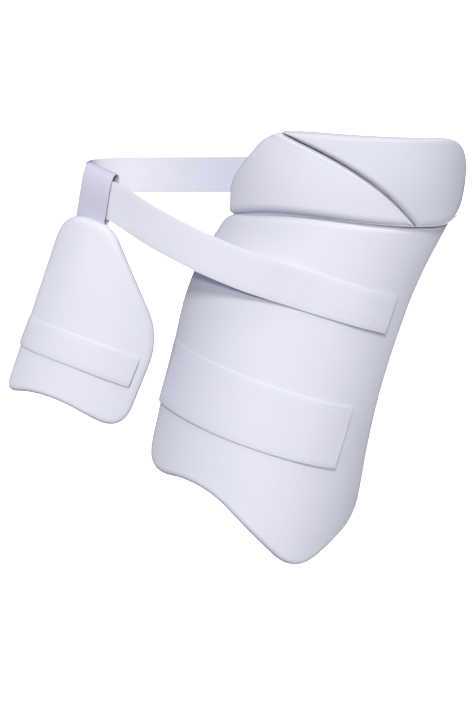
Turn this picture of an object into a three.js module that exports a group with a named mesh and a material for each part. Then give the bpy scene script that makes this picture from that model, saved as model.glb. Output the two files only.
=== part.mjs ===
// Cricket thigh pad for a right-handed batter, in the form it has when worn: an outer thigh pad with a
// two-panel hip guard above it, an inner thigh pad for the other leg, one elastic waist strap that carries
// both, and an elastic strap round each thigh.
// Millimetres, +Z up, the wearer faces -Y with the left hip towards +X. The origin is the middle of the
// waist.

import * as THREE from "three";

const { degToRad, lerp } = THREE.MathUtils;

// The pads are foam in a fabric cover. Each one is a flat pattern wrapped round a leg or a hip: `radius`
// is that of the wearer's side, `thickness` the foam at its edge, `crown` the extra foam in the middle
// and `rim` the height of the outline above the wearer's side. `x`, `y` and `lean` place the axis that it
// is wrapped round.
const OUTER_PAD = { x: 70, y: 16, lean: 17.5, radius: 124, thickness: 19, crown: 2, rim: 9 };
const INNER_PAD = { x: -125, y: 50, lean: 17.5, radius: 110, thickness: 15, crown: 2, rim: 7 };
const HIP_GUARD = { x: 75, y: 9, lean: 4, radius: 120, thickness: 24, crown: 4, rim: 13 };
const INNER_ROUND = 6; // rounding of every pad's edge on the wearer's side

// Straps are flat woven elastic.
const STRAP_THICKNESS = 1.8;
const WAIST_STRAP_WIDTH = 38.5;
const HANGER_WIDTH = 34;
const GAP = 0.7; // clearance between a strap and the outside of the pad that it lies on
const SEWN_GAP = 1.8; // clearance between a strap's sewn end and the hollow side of a pad

// Corners of a strap's section, as shares of its width and thickness.
const SECTION = [
  { side: -0.5, face: 0 },
  { side: -0.5, face: 1 },
  { side: 0.5, face: 1 },
  { side: 0.5, face: 0 },
];

// Mesh fineness.
const RIM_STEPS = 64;
const PANEL_RIM_STEPS = 56;
const STRAP_STEPS = 64;
const WAIST_STRAP_STEPS = 112;
const HANGER_STEPS = 36;
const FRONT_POINTS = 8; // points that guide a thigh strap over the front of its pad
// Places of the rings of a pad, from its outline to its middle.
const INSIDE_SHARES = [0.012, 0.06, 0.25, 0.5, 0.75];
const OUTSIDE_SHARES = [0.01, 0.04, 0.1, 0.18, 0.35, 0.55, 0.78];

// Flat patterns, anticlockwise as seen from outside. Each row is one corner: its place, how far back from
// it the rounding begins, and how wide the foam's outer edge is rounded there. Each `MIDDLE` sees the
// whole of its outline.
const OUTER_PAD_PATTERN = [
  { across: 106, up: 21, cut: 8, edge: 15 },
  { across: 88, up: 12.4, cut: 9, edge: 15 },
  { across: 5, up: -5.6, cut: 20, edge: 15 },
  { across: -36, up: -14.4, cut: 20, edge: 15 },
  { across: -116, up: -41.2, cut: 10, edge: 15 },
  { across: -149, up: -121, cut: 40, edge: 14 },
  { across: -135, up: -192, cut: 28, edge: 13 },
  { across: -117.5, up: -315, cut: 35, edge: 12 },
  { across: -48, up: -296, cut: 34, edge: 11 },
  { across: 60, up: -363, cut: 32, edge: 12 },
  { across: 114.5, up: -294, cut: 24, edge: 14 },
  { across: 87, up: -160, cut: 60, edge: 18 },
  { across: 89, up: -40, cut: 36, edge: 18 },
];
const OUTER_PAD_MIDDLE = { across: -14, up: -170 };
const INNER_PAD_PATTERN = [
  { across: -24, up: -27.5, cut: 16, edge: 10 },
  { across: -77, up: -26, cut: 34, edge: 10 },
  { across: -84.5, up: -228, cut: 16, edge: 10 },
  { across: -38, up: -208.5, cut: 32, edge: 10 },
  { across: 41, up: -227.5, cut: 30, edge: 11 },
  { across: 50, up: -122, cut: 34, edge: 12 },
];
const INNER_PAD_MIDDLE = { across: -20, up: -140 };
const HIP_FRONT_PATTERN = [
  { across: 2.3, up: 43.8, cut: 50, edge: 5 },
  { across: -66, up: 73.6, cut: 3, edge: 6 },
  { across: -84.5, up: 67.4, cut: 10, edge: 14 },
  { across: -125.3, up: 18, cut: 13, edge: 16 },
  { across: -125, up: -14.6, cut: 8, edge: 17 },
  { across: -78, up: -5, cut: 18, edge: 17 },
  { across: -40, up: -2.8, cut: 18, edge: 17 },
  { across: 20, up: -6.6, cut: 30, edge: 13 },
  { across: 56.5, up: -8.2, cut: 2, edge: 6 },
];
const HIP_FRONT_MIDDLE = { across: -62, up: 24 };
const HIP_REAR_PATTERN = [
  { across: 117, up: 78, cut: 44, edge: 20 },
  { across: -64.2, up: 76.2, cut: 3, edge: 8 },
  { across: 4.4, up: 46.4, cut: 50, edge: 14 },
  { across: 59.2, up: -8, cut: 3, edge: 16 },
  { across: 115, up: -8, cut: 42, edge: 20 },
];
const HIP_REAR_MIDDLE = { across: 70, up: 36 };

// Thigh straps, seen along the leg's axis. `up` is the height of the strap's middle along that axis and
// `tab` the arc where its hook-and-loop end lies on the pad. `edge` takes it round the side of the pad:
// from the arc `across`, each row goes `past` that arc at a height `lift`. `behind` takes it round the
// back of the thigh, out of sight, to the stretch `sewn` inside the pad.
const OUTER_STRAP = {
  width: 65,
  up: -211,
  tab: 60,
  edge: {
    across: -125,
    turn: [
      { past: 6, lift: 20 },
      { past: 11.5, lift: 17 },
      { past: 14.5, lift: 10 },
      { past: 14, lift: 4 },
    ],
  },
  behind: [
    { x: -106, y: -26 },
    { x: -97, y: 6 },
    { x: -72, y: 44 },
    { x: -5, y: 70 },
    { x: 62, y: 44 },
    { x: 88, y: -6 },
    { x: 88, y: -52 },
  ],
  sewn: { from: 75, to: 42 },
};
const INNER_STRAP = {
  width: 32,
  up: -160,
  tab: 33,
  edge: {
    across: -71,
    turn: [
      { past: 6, lift: 16.2 },
      { past: 10.5, lift: 14 },
      { past: 13.5, lift: 7.5 },
      { past: 12.5, lift: 2.5 },
    ],
  },
  behind: [
    { x: -73, y: -58 },
    { x: -66, y: -24 },
    { x: -46, y: 8 },
    { x: -14, y: 20 },
    { x: 17, y: 6 },
    { x: 33, y: -28 },
    { x: 36, y: -66 },
  ],
  sewn: { from: 26, to: -2 },
};

// Free stretch of the waist strap, from where it leaves the outer pad, through the hanger and round the
// back. `lean` is how far its width is turned from upright.
const WAIST_STRAP_FREE = [
  { x: -26, y: -123, z: -53, lean: 17.5 },
  { x: -68, y: -112, z: -37, lean: 17.5 },
  { x: -113, y: -87, z: -18, lean: 16 },
  { x: -159.5, y: -47.5, z: 4, lean: 12 },
  { x: -186.5, y: -23, z: 10, lean: 8 },
  { x: -191.5, y: 22, z: 14, lean: 4 },
  { x: -193, y: 62, z: 11.9, lean: 2 },
  { x: -188, y: 96, z: 10.7, lean: 0 },
  { x: -166, y: 111, z: 10.9, lean: 0 },
  { x: -110, y: 115, z: 10.9, lean: 0 },
  { x: -30, y: 117, z: 11, lean: 0 },
  { x: 50, y: 115, z: 13, lean: 0 },
  { x: 112, y: 98, z: 18, lean: 0 },
  { x: 154, y: 58, z: 24, lean: 2 },
  { x: 171, y: 4, z: 28, lean: 4 },
  { x: 168, y: -46, z: 30, lean: 4 },
];
// The stretch that lies on the outer pad, from its tab, and the stretch sewn inside the rear hip panel.
const WAIST_STRAP_ON_PAD = { up: -79.2, arcs: [65, 44, 22, 0] };
const WAIST_STRAP_SEWN = { up: 32, arcs: [84, 64, 44] };

// The hanger is a loop of elastic that stands up behind the top edge of the inner pad, tilted a little
// off the leg's axis. Each row is a point of its inner face: `depth` behind the pad's hollow side, and
// height above its top edge.
const HANGER_PLACE = { across: -54.5, up: -27, tilt: 8 };
const HANGER_ROUTE = [
  { depth: 4.4, up: -35 },
  { depth: 4.4, up: 3 },
  { depth: 4.4, up: 37 },
  { depth: 7, up: 45 },
  { depth: 12, up: 47.5 },
  { depth: 17, up: 44.5 },
  { depth: 19.5, up: 36 },
  { depth: 19.5, up: 1 },
  { depth: 13, up: -13 },
  { depth: 7.4, up: -23 },
  { depth: 7.1, up: -37 },
];

const FABRIC = { color: 0xe2e0ee, roughness: 0.85, metalness: 0 };
const ELASTIC = { color: 0xdedcec, roughness: 0.9, metalness: 0 };

// A point of a pad in the frame of its leg: `across` is the arc on the wearer's side, `lift` the height
// above that side.
function wrap(pad, across, up, lift) {
  const turn = across / pad.radius;
  const reach = pad.radius + lift;
  return new THREE.Vector3(reach * Math.sin(turn), -reach * Math.cos(turn), up);
}

// Closed outline of a pattern, evenly spaced. The third coordinate carries the width of the edge.
function outline(pattern, steps) {
  const corners = pattern.map(({ across, up, edge }) => new THREE.Vector3(across, up, edge));
  const towards = (from, to, distance) => {
    const step = to.clone().sub(from).setZ(0).setLength(distance);
    return from.clone().add(step);
  };
  const bends = corners.map((corner, i) => {
    const before = corners.at(i - 1);
    const after = corners[(i + 1) % corners.length];
    const { cut } = pattern[i];
    return new THREE.QuadraticBezierCurve3(towards(corner, before, cut), corner, towards(corner, after, cut));
  });
  const path = new THREE.CurvePath();
  bends.forEach((bend, i) => {
    path.add(bend);
    path.add(new THREE.LineCurve3(bend.v2, bends[(i + 1) % bends.length].v0));
  });
  return path.getSpacedPoints(steps).slice(0, -1);
}

// Height of a cushioned edge as a share of the full height, at a share of the edge's width from the
// outline.
function cushion(share) {
  const left = 1 - Math.min(share, 1);
  return Math.sqrt(1 - left * left);
}

// Distance from a point of a pattern to its outline, and the width of the edge there.
function distanceToOutline(rim, x, y) {
  const point = new THREE.Vector3(x, y, 0);
  const nearest = new THREE.Vector3();
  const best = { distance: Infinity, edge: 0 };
  rim.forEach((start, i) => {
    const end = rim[(i + 1) % rim.length];
    const side = new THREE.Line3(start.clone().setZ(0), end.clone().setZ(0));
    const share = side.closestPointToPointParameter(point, true);
    const distance = side.at(share, nearest).distanceTo(point);
    if (distance < best.distance) {
      best.distance = distance;
      best.edge = lerp(start.z, end.z, share);
    }
  });
  return best;
}

// Height of a pad's outside at a point of its pattern: the cushioned edge, and the crown, which bows over
// the box round the pattern.
function outsideLift(pad, rim, box, x, y) {
  const { distance, edge } = distanceToOutline(rim, x, y);
  const place = box.getParameter(new THREE.Vector2(x, y), new THREE.Vector2());
  const bow = (share) => Math.sin(Math.PI * share);
  const full = pad.thickness + pad.crown * bow(place.x) * bow(place.y);
  return lerp(pad.rim, full, cushion(distance / edge));
}

// Height of the wearer's side: flat, with a rounded edge.
function insideLift(pad, rim, x, y) {
  const { distance } = distanceToOutline(rim, x, y);
  return pad.rim * (1 - cushion(distance / INNER_ROUND));
}

function middleOf(points) {
  return points.reduce((sum, p) => sum.add(p), new THREE.Vector3()).divideScalar(points.length);
}

// Closed solid of a pad: rings of points that follow its outline, from the middle of the wearer's side,
// round the edge, to the middle of the outside.
function padGeometry(pad, pattern, middle, steps) {
  const rim = outline(pattern, steps);
  const box = new THREE.Box2().setFromPoints(rim);
  const at = (point, share, lift) => {
    const x = lerp(point.x, middle.across, share);
    const y = lerp(point.y, middle.up, share);
    return wrap(pad, x, y, lift(x, y));
  };
  const inside = (x, y) => insideLift(pad, rim, x, y);
  const outside = (x, y) => outsideLift(pad, rim, box, x, y);
  const insideRings = INSIDE_SHARES.toReversed().map((share) => rim.map((point) => at(point, share, inside)));
  const edgeRing = rim.map(({ x, y }) => wrap(pad, x, y, pad.rim));
  const outsideRings = OUTSIDE_SHARES.map((share) => rim.map((point) => at(point, share, outside)));
  const first = at(rim[0], 1, inside);
  const last = at(rim[0], 1, outside);
  return closedRings([...insideRings, edgeRing, ...outsideRings], first, last);
}

// A closed surface over rings of equally many points, with a fan to a single point at each end.
function closedRings(rings, first, last) {
  const count = rings[0].length;
  const points = [first, ...rings.flat(), last];
  const index = [];
  const at = (ring, j) => 1 + ring * count + (j % count);
  for (let j = 0; j < count; j++) {
    index.push(0, at(0, j + 1), at(0, j));
    for (let ring = 0; ring + 1 < rings.length; ring++) {
      index.push(at(ring, j), at(ring, j + 1), at(ring + 1, j + 1));
      index.push(at(ring, j), at(ring + 1, j + 1), at(ring + 1, j));
    }
    index.push(at(rings.length - 1, j), at(rings.length - 1, j + 1), points.length - 1);
  }
  return new THREE.BufferGeometry().setFromPoints(points).setIndex(index);
}

// A flat strap along a route of stations. Each station has a point on the middle of the inner face, the
// direction of the strap's width and the direction of its thickness.
function strapGeometry(stations, width) {
  const rings = stations.map(({ point, broad, out }) =>
    SECTION.map(({ side, face }) => {
      const edge = point.clone().addScaledVector(broad, side * width);
      return edge.addScaledVector(out, face * STRAP_THICKNESS);
    }),
  );
  return closedRings(rings, middleOf(rings[0]), middleOf(rings.at(-1)));
}

// Stations along a smooth curve. `broadAt` gives the direction of the width at a share of the curve's
// parameter.
function stationsAlong(points, steps, broadAt) {
  const curve = new THREE.CatmullRomCurve3(points, false, "centripetal");
  const stations = [];
  for (let i = 0; i <= steps; i++) {
    const t = curve.getUtoTmapping(i / steps);
    const along = curve.getTangent(t);
    const broad = broadAt(t);
    broad.addScaledVector(along, -broad.dot(along)).normalize();
    stations.push({ point: curve.getPoint(t), broad, out: new THREE.Vector3().crossVectors(broad, along) });
  }
  return stations;
}

// A strap round one leg, in the leg's frame: over the outside of the pad from its tab to the edge, round
// that edge, behind the leg and in to the hollow side of the pad.
function legStrapGeometry(pad, { up, tab, edge, behind, sewn, width }) {
  const onPad = pad.thickness + pad.crown + GAP;
  const points = [];
  for (let i = 0; i < FRONT_POINTS; i++) {
    points.push(wrap(pad, lerp(tab, edge.across, i / FRONT_POINTS), up, onPad));
  }
  points.push(...edge.turn.map(({ past, lift }) => wrap(pad, edge.across - past, up, lift)));
  points.push(...behind.map(({ x, y }) => new THREE.Vector3(x, y, up)));
  for (const across of [sewn.from, (sewn.from + sewn.to) / 2, sewn.to]) {
    points.push(wrap(pad, across, up, -SEWN_GAP - STRAP_THICKNESS));
  }
  const stations = stationsAlong(points, STRAP_STEPS, () => new THREE.Vector3(0, 0, 1));
  return strapGeometry(stations, width);
}

// The hanger in its own frame: X along its width, Z along its standing part, -Y away from the leg.
function hangerMesh() {
  const points = HANGER_ROUTE.map(({ depth, up }) => new THREE.Vector3(0, depth, up));
  const stations = stationsAlong(points, HANGER_STEPS, () => new THREE.Vector3(1, 0, 0));
  const hanger = mesh("inner_pad_hanger", strapGeometry(stations, HANGER_WIDTH), ELASTIC);
  const { across, up, tilt } = HANGER_PLACE;
  hanger.position.copy(wrap(INNER_PAD, across, up, 0));
  hanger.rotation.set(0, -degToRad(tilt), across / INNER_PAD.radius, "ZYX");
  return hanger;
}

// The waist strap runs through three frames, so its route is laid out in the frame of the whole object.
function waistStrapGeometry(outerLeg, hip) {
  const onPad = WAIST_STRAP_ON_PAD.arcs.map((across) => {
    const lift = OUTER_PAD.thickness + OUTER_PAD.crown + GAP;
    return outerLeg.localToWorld(wrap(OUTER_PAD, across, WAIST_STRAP_ON_PAD.up, lift));
  });
  const free = WAIST_STRAP_FREE.map(({ x, y, z }) => new THREE.Vector3(x, y, z));
  const sewn = WAIST_STRAP_SEWN.arcs.map((across) =>
    hip.localToWorld(wrap(HIP_GUARD, across, WAIST_STRAP_SEWN.up, -SEWN_GAP - STRAP_THICKNESS)),
  );
  const leans = [
    ...onPad.map(() => OUTER_PAD.lean),
    ...WAIST_STRAP_FREE.map(({ lean }) => lean),
    ...sewn.map(() => HIP_GUARD.lean),
  ];
  const broadAt = (t) => {
    const place = t * (leans.length - 1);
    const i = Math.min(Math.floor(place), leans.length - 2);
    const lean = degToRad(lerp(leans[i], leans[i + 1], place - i));
    return new THREE.Vector3(Math.sin(lean), 0, Math.cos(lean));
  };
  const stations = stationsAlong([...onPad, ...free, ...sewn], WAIST_STRAP_STEPS, broadAt);
  return strapGeometry(stations, WAIST_STRAP_WIDTH);
}

function mesh(name, geometry, look) {
  const made = new THREE.Mesh(geometry, new THREE.MeshStandardMaterial(look));
  made.name = name;
  return made;
}

// A group whose Z axis is the axis that a pad is wrapped round.
function legFrame({ x, y, lean }) {
  const group = new THREE.Group();
  group.position.set(x, y, 0);
  group.rotation.y = degToRad(lean);
  group.updateMatrixWorld();
  return group;
}

const outerLeg = legFrame(OUTER_PAD);
outerLeg.add(
  mesh("outer_pad", padGeometry(OUTER_PAD, OUTER_PAD_PATTERN, OUTER_PAD_MIDDLE, RIM_STEPS), FABRIC),
  mesh("outer_leg_strap", legStrapGeometry(OUTER_PAD, OUTER_STRAP), ELASTIC),
);

const innerLeg = legFrame(INNER_PAD);
innerLeg.add(
  mesh("inner_pad", padGeometry(INNER_PAD, INNER_PAD_PATTERN, INNER_PAD_MIDDLE, RIM_STEPS), FABRIC),
  mesh("inner_leg_strap", legStrapGeometry(INNER_PAD, INNER_STRAP), ELASTIC),
  hangerMesh(),
);

const hip = legFrame(HIP_GUARD);
const hipPanel = (pattern, middle) => padGeometry(HIP_GUARD, pattern, middle, PANEL_RIM_STEPS);
hip.add(
  mesh("hip_front_panel", hipPanel(HIP_FRONT_PATTERN, HIP_FRONT_MIDDLE), FABRIC),
  mesh("hip_rear_panel", hipPanel(HIP_REAR_PATTERN, HIP_REAR_MIDDLE), FABRIC),
);

const thighPad = new THREE.Group();
thighPad.add(outerLeg, innerLeg, hip, mesh("waist_strap", waistStrapGeometry(outerLeg, hip), ELASTIC));

export default thighPad;
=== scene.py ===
"""Cricket thigh pad: the sewn pads, the elastic straps, their stitches, the materials and the studio.

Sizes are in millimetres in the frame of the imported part, and are turned into metres where a mesh is made.
"""

import math

import bpy
import numpy as np
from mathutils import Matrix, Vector
from mathutils.bvhtree import BVHTree
from mathutils.kdtree import KDTree


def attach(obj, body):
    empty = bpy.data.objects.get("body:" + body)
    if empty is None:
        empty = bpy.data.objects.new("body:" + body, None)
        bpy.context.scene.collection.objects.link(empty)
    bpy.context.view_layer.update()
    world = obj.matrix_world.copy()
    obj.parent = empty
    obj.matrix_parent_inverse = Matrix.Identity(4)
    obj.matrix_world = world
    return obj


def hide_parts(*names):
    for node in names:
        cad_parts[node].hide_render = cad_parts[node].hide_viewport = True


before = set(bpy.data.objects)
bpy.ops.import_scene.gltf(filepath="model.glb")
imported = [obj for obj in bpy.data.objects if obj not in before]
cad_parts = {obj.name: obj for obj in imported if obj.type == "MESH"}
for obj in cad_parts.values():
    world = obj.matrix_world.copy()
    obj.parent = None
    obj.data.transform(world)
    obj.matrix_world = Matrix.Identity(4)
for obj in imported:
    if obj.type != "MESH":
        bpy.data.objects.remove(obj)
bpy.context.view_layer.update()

MM = 0.001

# Each pad is a flat pattern wrapped round a leg or a hip: place and lean of the axis that it is wrapped
# round, radius of the wearer's side, thickness of the foam, extra foam in the middle, height of the seam
# above the wearer's side, and how much thinner the foam gets towards the left and the right side, whose
# places across are given as rows of height, left and right. painted_shade is how much painted shade
# darkens the cloth towards the left side, where the pad turns away from the light.
OUTER_PAD = dict(
    x=70, y=16, lean=17.5, radius=124, thickness=19, crown=1.2, rim=9, drop=7, power=2.2, painted_shade=1.05,
    sides=[(-361, -126, 180), (-300, -128, 160), (-240, -130, 102), (-190, -136, 93), (-121, -149, 92),
           (-40, -120, 92), (20, -112, 112)],
)
INNER_PAD = dict(
    x=-125, y=50, lean=17.5, radius=110, thickness=15, crown=1.2, rim=7, drop=3, power=2.2, painted_shade=0.35,
    sides=[(-228, -86, 44), (-126, -82, 48), (-26, -78, -4)],
)
HIP_GUARD = dict(
    x=75, y=9, lean=4, radius=120, thickness=24, crown=2, rim=13, drop=9, power=1.2, painted_shade=0,
    sides=[(-10, -220, 124), (78, -220, 124)],
)
SIDES_SPREAD = np.linspace(-36, 36, 13)  # heights over which the places of the sides are evened out
CUSHION_POWER = 2.7
INNER_ROUND = 6

# Cloth pressure that fills out the pads' covers: how much thinner they start, voxel of the copy that is
# blown up, its cloth, width of the band that is held along the seam, how far a point may move, and the
# distance over which the movement is evened out.
SWELL = dict(
    start=0.8, voxel=5, pressure=4, mass=0.015, stiffness=0.25, frames=20, held=3, cap=1.6, spread=10,
)
SWELL_BATCHES = 80

# Corners of the patterns: across, up, how far back the rounding begins, and the width of the rounded edge.
OUTER_PAD_PATTERN = [
    (106.5, 23.5, 7, 4),
    (88, 13.4, 9, 6),
    (5, -4.4, 20, 8),
    (-36, -13.8, 20, 8),
    (-116, -41.2, 9, 7),
    (-149, -121, 40, 7),
    (-135, -192, 28, 7),
    (-117.5, -315, 35, 8),
    (-48, -296, 34, 7),
    (60, -363, 32, 7),
    (114.5, -294, 24, 5),
    (87, -160, 60, 4),
    (89, -40, 36, 4),
]
OUTER_PAD_MIDDLE = (-14, -170)
INNER_PAD_PATTERN = [
    (-24, -27.5, 16, 8),
    (-77, -26, 34, 8),
    (-86, -228, 16, 8),
    (-38, -208.5, 32, 6),
    (41, -227.5, 30, 7),
    (50, -122, 34, 7),
]
INNER_PAD_MIDDLE = (-20, -140)
HIP_FRONT_PATTERN = [
    (2.3, 43.8, 50, 2.5),
    (-70.5, 73, 3, 2),
    (-85.5, 66.8, 10, 8),
    (-125.3, 18, 13, 7),
    (-124, -14.6, 5, 9),
    (-78, -4.8, 18, 11),
    (-40, -2.6, 18, 11),
    (20, -6.4, 30, 10),
    (56.5, -8.2, 2, 3),
]
HIP_FRONT_MIDDLE = (-62, 24)
HIP_FRONT_DIAGONAL = (8, 1)  # its corners at the ends of the diagonal seam, and of its lower edge
HIP_FRONT_LOWER = (4, 8)
HIP_REAR_PATTERN = [
    (117, 78, 44, 5),
    (-50, 76.4, 14, 6),
    (-69.5, 73.9, 3, 2.5),
    (3.1, 45, 50, 5.2),
    (58, -8, 3, 7),
    (115, -8, 42, 10),
]
HIP_REAR_MIDDLE = (70, 36)
HIP_REAR_DIAGONAL = (2, 4)
HIP_REAR_LOWER = (4, 5)
HIP_REAR_PAINTED_SHADE = 0.33  # how much painted shade darkens the whole panel, for its side turned away from the light
OUTER_PAD_UPPER = (0, 4)

# The strips of cover cloth that join the pads: how far they reach under the edges, and the height of their
# outer face above the wearer's side at several shares of their length.
DIAGONAL_STRIP = dict(inset=1, shares=(0, 0.4, 0.65, 1), lifts=(11.8, 11.8, 12.7, 12.7), short=0.04)
HINGE_STRIP = dict(
    inset=1, shares=(0, 0.12, 0.3, 0.55, 1), hip=(12, 13.2, 16, 17.5, 17.5), pad=(7.6, 8.6, 11.4, 12.8, 12.8),
    short=0.004,
)
STRIP_THICKNESS = 1.6
STRIP_POINTS = 120

# Thigh straps, seen along the leg's axis. The strap runs over the pad from its tab, turns round the pad's
# edge, goes behind the thigh, and is sewn to the hollow side of the pad. hub is the arc of the pad's edge
# that it is drawn round.
OUTER_STRAP = dict(
    width=65, up=-211, bow=0, slant=0, tab=60, edge=-125, low_gap=2.2,
    turn=[(6, 20), (11.5, 17), (14.5, 10), (14, 4)],
    behind=[(-106, -26), (-97, 6), (-72, 44), (-5, 70), (62, 44), (88, -6), (88, -52)],
    sewn=(75, 42), hub=-123, sewn_length=42,
)
INNER_STRAP = dict(
    width=32, up=-159.2, bow=3.4, slant=-2.3, tab=33, edge=-70, low_gap=1.2,
    turn=[(6, 16.2), (10.5, 14), (13.5, 7.5), (12.5, 2.5)],
    behind=[(-73, -58), (-66, -24), (-46, 8), (-14, 20), (17, 6), (33, -28), (36, -66)],
    sewn=(26, -2), hub=-70, sewn_length=36,
)
FRONT_POINTS = 8

WAIST_STRAP_WIDTH = 38.5
WAIST_STRAP_ON_PAD = dict(ups=[-81.2, -80.2, -79.4, -79.2], arcs=[66.3, 44, 22, 0], length=80, fade=14)
WAIST_STRAP_FREE = [  # x, y, z and how far the width leans from upright
    (-26, -123, -53, 17.5),
    (-68, -112, -37, 17.5),
    (-113, -87, -18, 16),
    (-159.5, -47.5, 4, 12),
    (-186.5, -23, 10, 8),
    (-191.5, 22, 14, 4),
    (-193, 62, 11.9, 2),
    (-188, 96, 10.7, 0),
    (-166, 111, 10.9, 0),
    (-110, 115, 10.9, 0),
    (-30, 117, 11, 0),
    (50, 115, 13, 0),
    (112, 98, 18, 0),
    (154, 58, 24, 2),
    (171, 4, 28, 4),
    (168, -46, 30, 4),
]
WAIST_STRAP_SEWN = dict(up=32, arcs=[84, 64, 44], length=45, fade=15)

HANGER_WIDTH = 34
HANGER_PLACE = dict(across=-54.5, up=-27, tilt=8)
HANGER_SLOPE = 0.17  # its top follows the slope of the waist strap
HANGER_SLOPE_FROM = 34
HANGER_ROUTE = [  # depth behind the hollow side of the inner pad, height above its top edge
    (4.4, -35), (4.4, 3), (4.4, 37), (7, 45), (12, 47.5), (17, 44.5), (19.5, 36), (17.5, 8), (10.5, -8),
    (7.6, -23), (7.1, -37),
]
HANGER_SEWN = dict(length=30, fade=12, back_length=14)
HANGER_PAINTED_SHADE_RISE = 40  # height over which the painted shade on its lower part, down behind the pad's top edge, fades out

STRAP_THICKNESS = 0.9
ROUTE_GAP = 0.7  # clearance of a strap's route from the pad it lies on
ROUTE_CROWN = 2
SEWN_GAP = 1.8
SEWN_FADE = 12
REST_GAP = 0.15  # clearance of the finished strap
LOW_EDGE_GAP = 2.2  # how far its lower edge stands off the pad
TAB_GAP = 1.4  # how far its tab stands off, with the hook-and-loop patch under it
TAB_LENGTH = 70
TAB_FADE = 40
CAST_FROM = 60
CAST_LENGTH = 0.2
HUG_TO = 100  # degrees round a pad's edge that a strap lies close
HUG_FADE = 45

# Stitches: length of one, spacing, radius of the thread and height of its middle above the cloth.
STITCH = dict(length=2.7, pitch=3.5, radius=0.24, rise=0.2)
STITCH_SIDES = 6
STITCH_ARCH = [  # share of its length, share of its height and of its girth
    (0.0, -0.35, 0.6),
    (0.14, 0.45, 0.95),
    (0.5, 1.0, 1.0),
    (0.86, 0.45, 0.95),
    (1.0, -0.35, 0.6),
]
FACE_STEP = 0.5  # distance over which a strap's direction is measured

# Rows of stitches: along the edges of a leg strap's tab, boxes at the sewn ends, given from the strap's end,
# and the row and the short tack on the waist strap's tab, given as along and across.
TAB_STITCHES = dict(length=40, inset=3.2)
LEG_BOX = dict(start=26, end=4, inset=4.2)
WAIST_ROW = [(17, -8), (92, -7.5)]
WAIST_TACK = dict(start=25, end=32, across=(6.9, 7.3, 7.7))
WAIST_BOX = dict(start=30, end=4, half=16)
HANGER_BOX = dict(start=14, end=3, half=13)

# Fineness.
BEND_POINTS = 24
RIM_POINTS = 400
PANEL_RIM_POINTS = 320
INSIDE_SHARES = [0.006, 0.014, 0.026, 0.045, 0.075, 0.12, 0.2, 0.32, 0.46, 0.6, 0.75, 0.9]
OUTSIDE_SHARES = [
    0.003, 0.007, 0.012, 0.019, 0.028, 0.039, 0.053, 0.07, 0.09, 0.115, 0.145, *np.arange(0.175, 0.97, 0.03),
]
ROUTE_STEP = 2.5
ROUTE_POINTS = 2000
CURVE_POINTS = 60
SEAM_GROOVE = 0.7
SEAM_HALF_WIDTH = 0.9
SEAM_REACH = 6  # how far in from the seam the cloth is darkened, partly painted shade of the groove and partly soiling
# How near a strap lies to a pad to take up the pad's painted shade, and where the painted shade on a pad's
# left side begins.
PAINTED_SHADE_NEAR = 6
PAINTED_SHADE_START = 0.2
# Painted shadow of the hip guard on the back run of the waist strap: how far back it is, the span across
# where it grows, and its strength.
WAIST_BACK = 60
WAIST_SHADE = (-164, -30)
WAIST_PAINTED_SHADOW = 1.2
SOFT_POWER = 8
SOFT_SPREAD = math.sqrt(math.pi) * math.gamma((SOFT_POWER - 1) / 2) / math.gamma(SOFT_POWER / 2)

# Cloths: colour as linear light, pitch of the ribs and of the rows of yarn, relief of the weave, and how much
# darker the cloth is at full painted shade.
COVER = dict(colour=(0.80, 0.795, 0.85), rib=0.9, row=0.7, relief=0.12, painted_shade=0.17)
ELASTIC = dict(colour=(0.775, 0.77, 0.83), rib=1.5, row=0.8, relief=0.15, painted_shade=0.17)
# The hanger's elastic is a darker copy of the elastic: its darker colour is painted shade.
SHADED_HANGER_ELASTIC = dict(colour=(0.63, 0.622, 0.70), rib=1.5, row=0.8, relief=0.15, painted_shade=0.14)
PAINTED_SHADE_TINT = (1.0, 0.98, 0.85)  # how much of each colour the painted shade takes away, so that the painted shade is bluer
CLOTH_LIGHT = dict(base=0.94, yarns=0.05, mottle=0.05, fibres=0.03, seam=-0.05)
CLOTH_ROUGHNESS = dict(base=0.75, mottle=0.2)
CLOTH_SPECULAR = 0.25
RIB_WOBBLE = 0.4
ROW_WOBBLE = 0.6
MOTTLE = {"Scale": 18, "Detail": 3}
FIBRES = {"Scale": 900, "Detail": 2}
FIBRE_RELIEF = 0.5
WEAVE_DEPTH = 0.15
THREAD = dict(colour=(0.68, 0.675, 0.78), pitch=0.5, wobble=0.2, base=0.9, turns=0.15, roughness=0.7)

CAMERA_PLACE = (-0.035644, -1.706898, 0.230495)
CAMERA_PITCH = 77
CAMERA_LENS = 85.27

FLOOR_DROP = -1.0
FLOOR_GLOW = 1.0
FLOOR_RINGS = [(12, 0), (15, 0.6), (17.5, 2), (19, 4.5), (20, 9)]  # radius and rise of the floor's rim
FLOOR_SIDES = 48
SKY_ABOVE = (0.10, 0.105, 0.165)
SKY_BELOW = (0.09, 0.095, 0.155)
SUNS = [  # name, strength, height, side, angle
    ("key", 1.62, 37, -5, 12),
    ("front", 1.45, 18, -1, 6),
    ("top", 0.45, 74, 0, 30),
    ("back", 0.9, 20, 180, 25),
    ("side", 0.14, 12, 75, 20),
]


# Shapes of the pads


def wrap(pad, across, up, lift):
    """Points of a pad in its leg's frame: arc on the wearer's side, height, and height above that side."""
    turn = np.asarray(across, float) / pad["radius"]
    reach = pad["radius"] + np.asarray(lift, float)
    up = np.broadcast_to(np.asarray(up, float), np.broadcast(turn, reach).shape)
    return np.stack(np.broadcast_arrays(reach * np.sin(turn), -reach * np.cos(turn), up), axis=-1)


def leg_axes(pad):
    lean = math.radians(pad["lean"])
    turn = np.array([[math.cos(lean), 0, math.sin(lean)], [0, 1, 0], [-math.sin(lean), 0, math.cos(lean)]])
    return turn, np.array([pad["x"], pad["y"], 0.0])


def to_world(pad, points):
    turn, place = leg_axes(pad)
    return points @ turn.T + place


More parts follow.
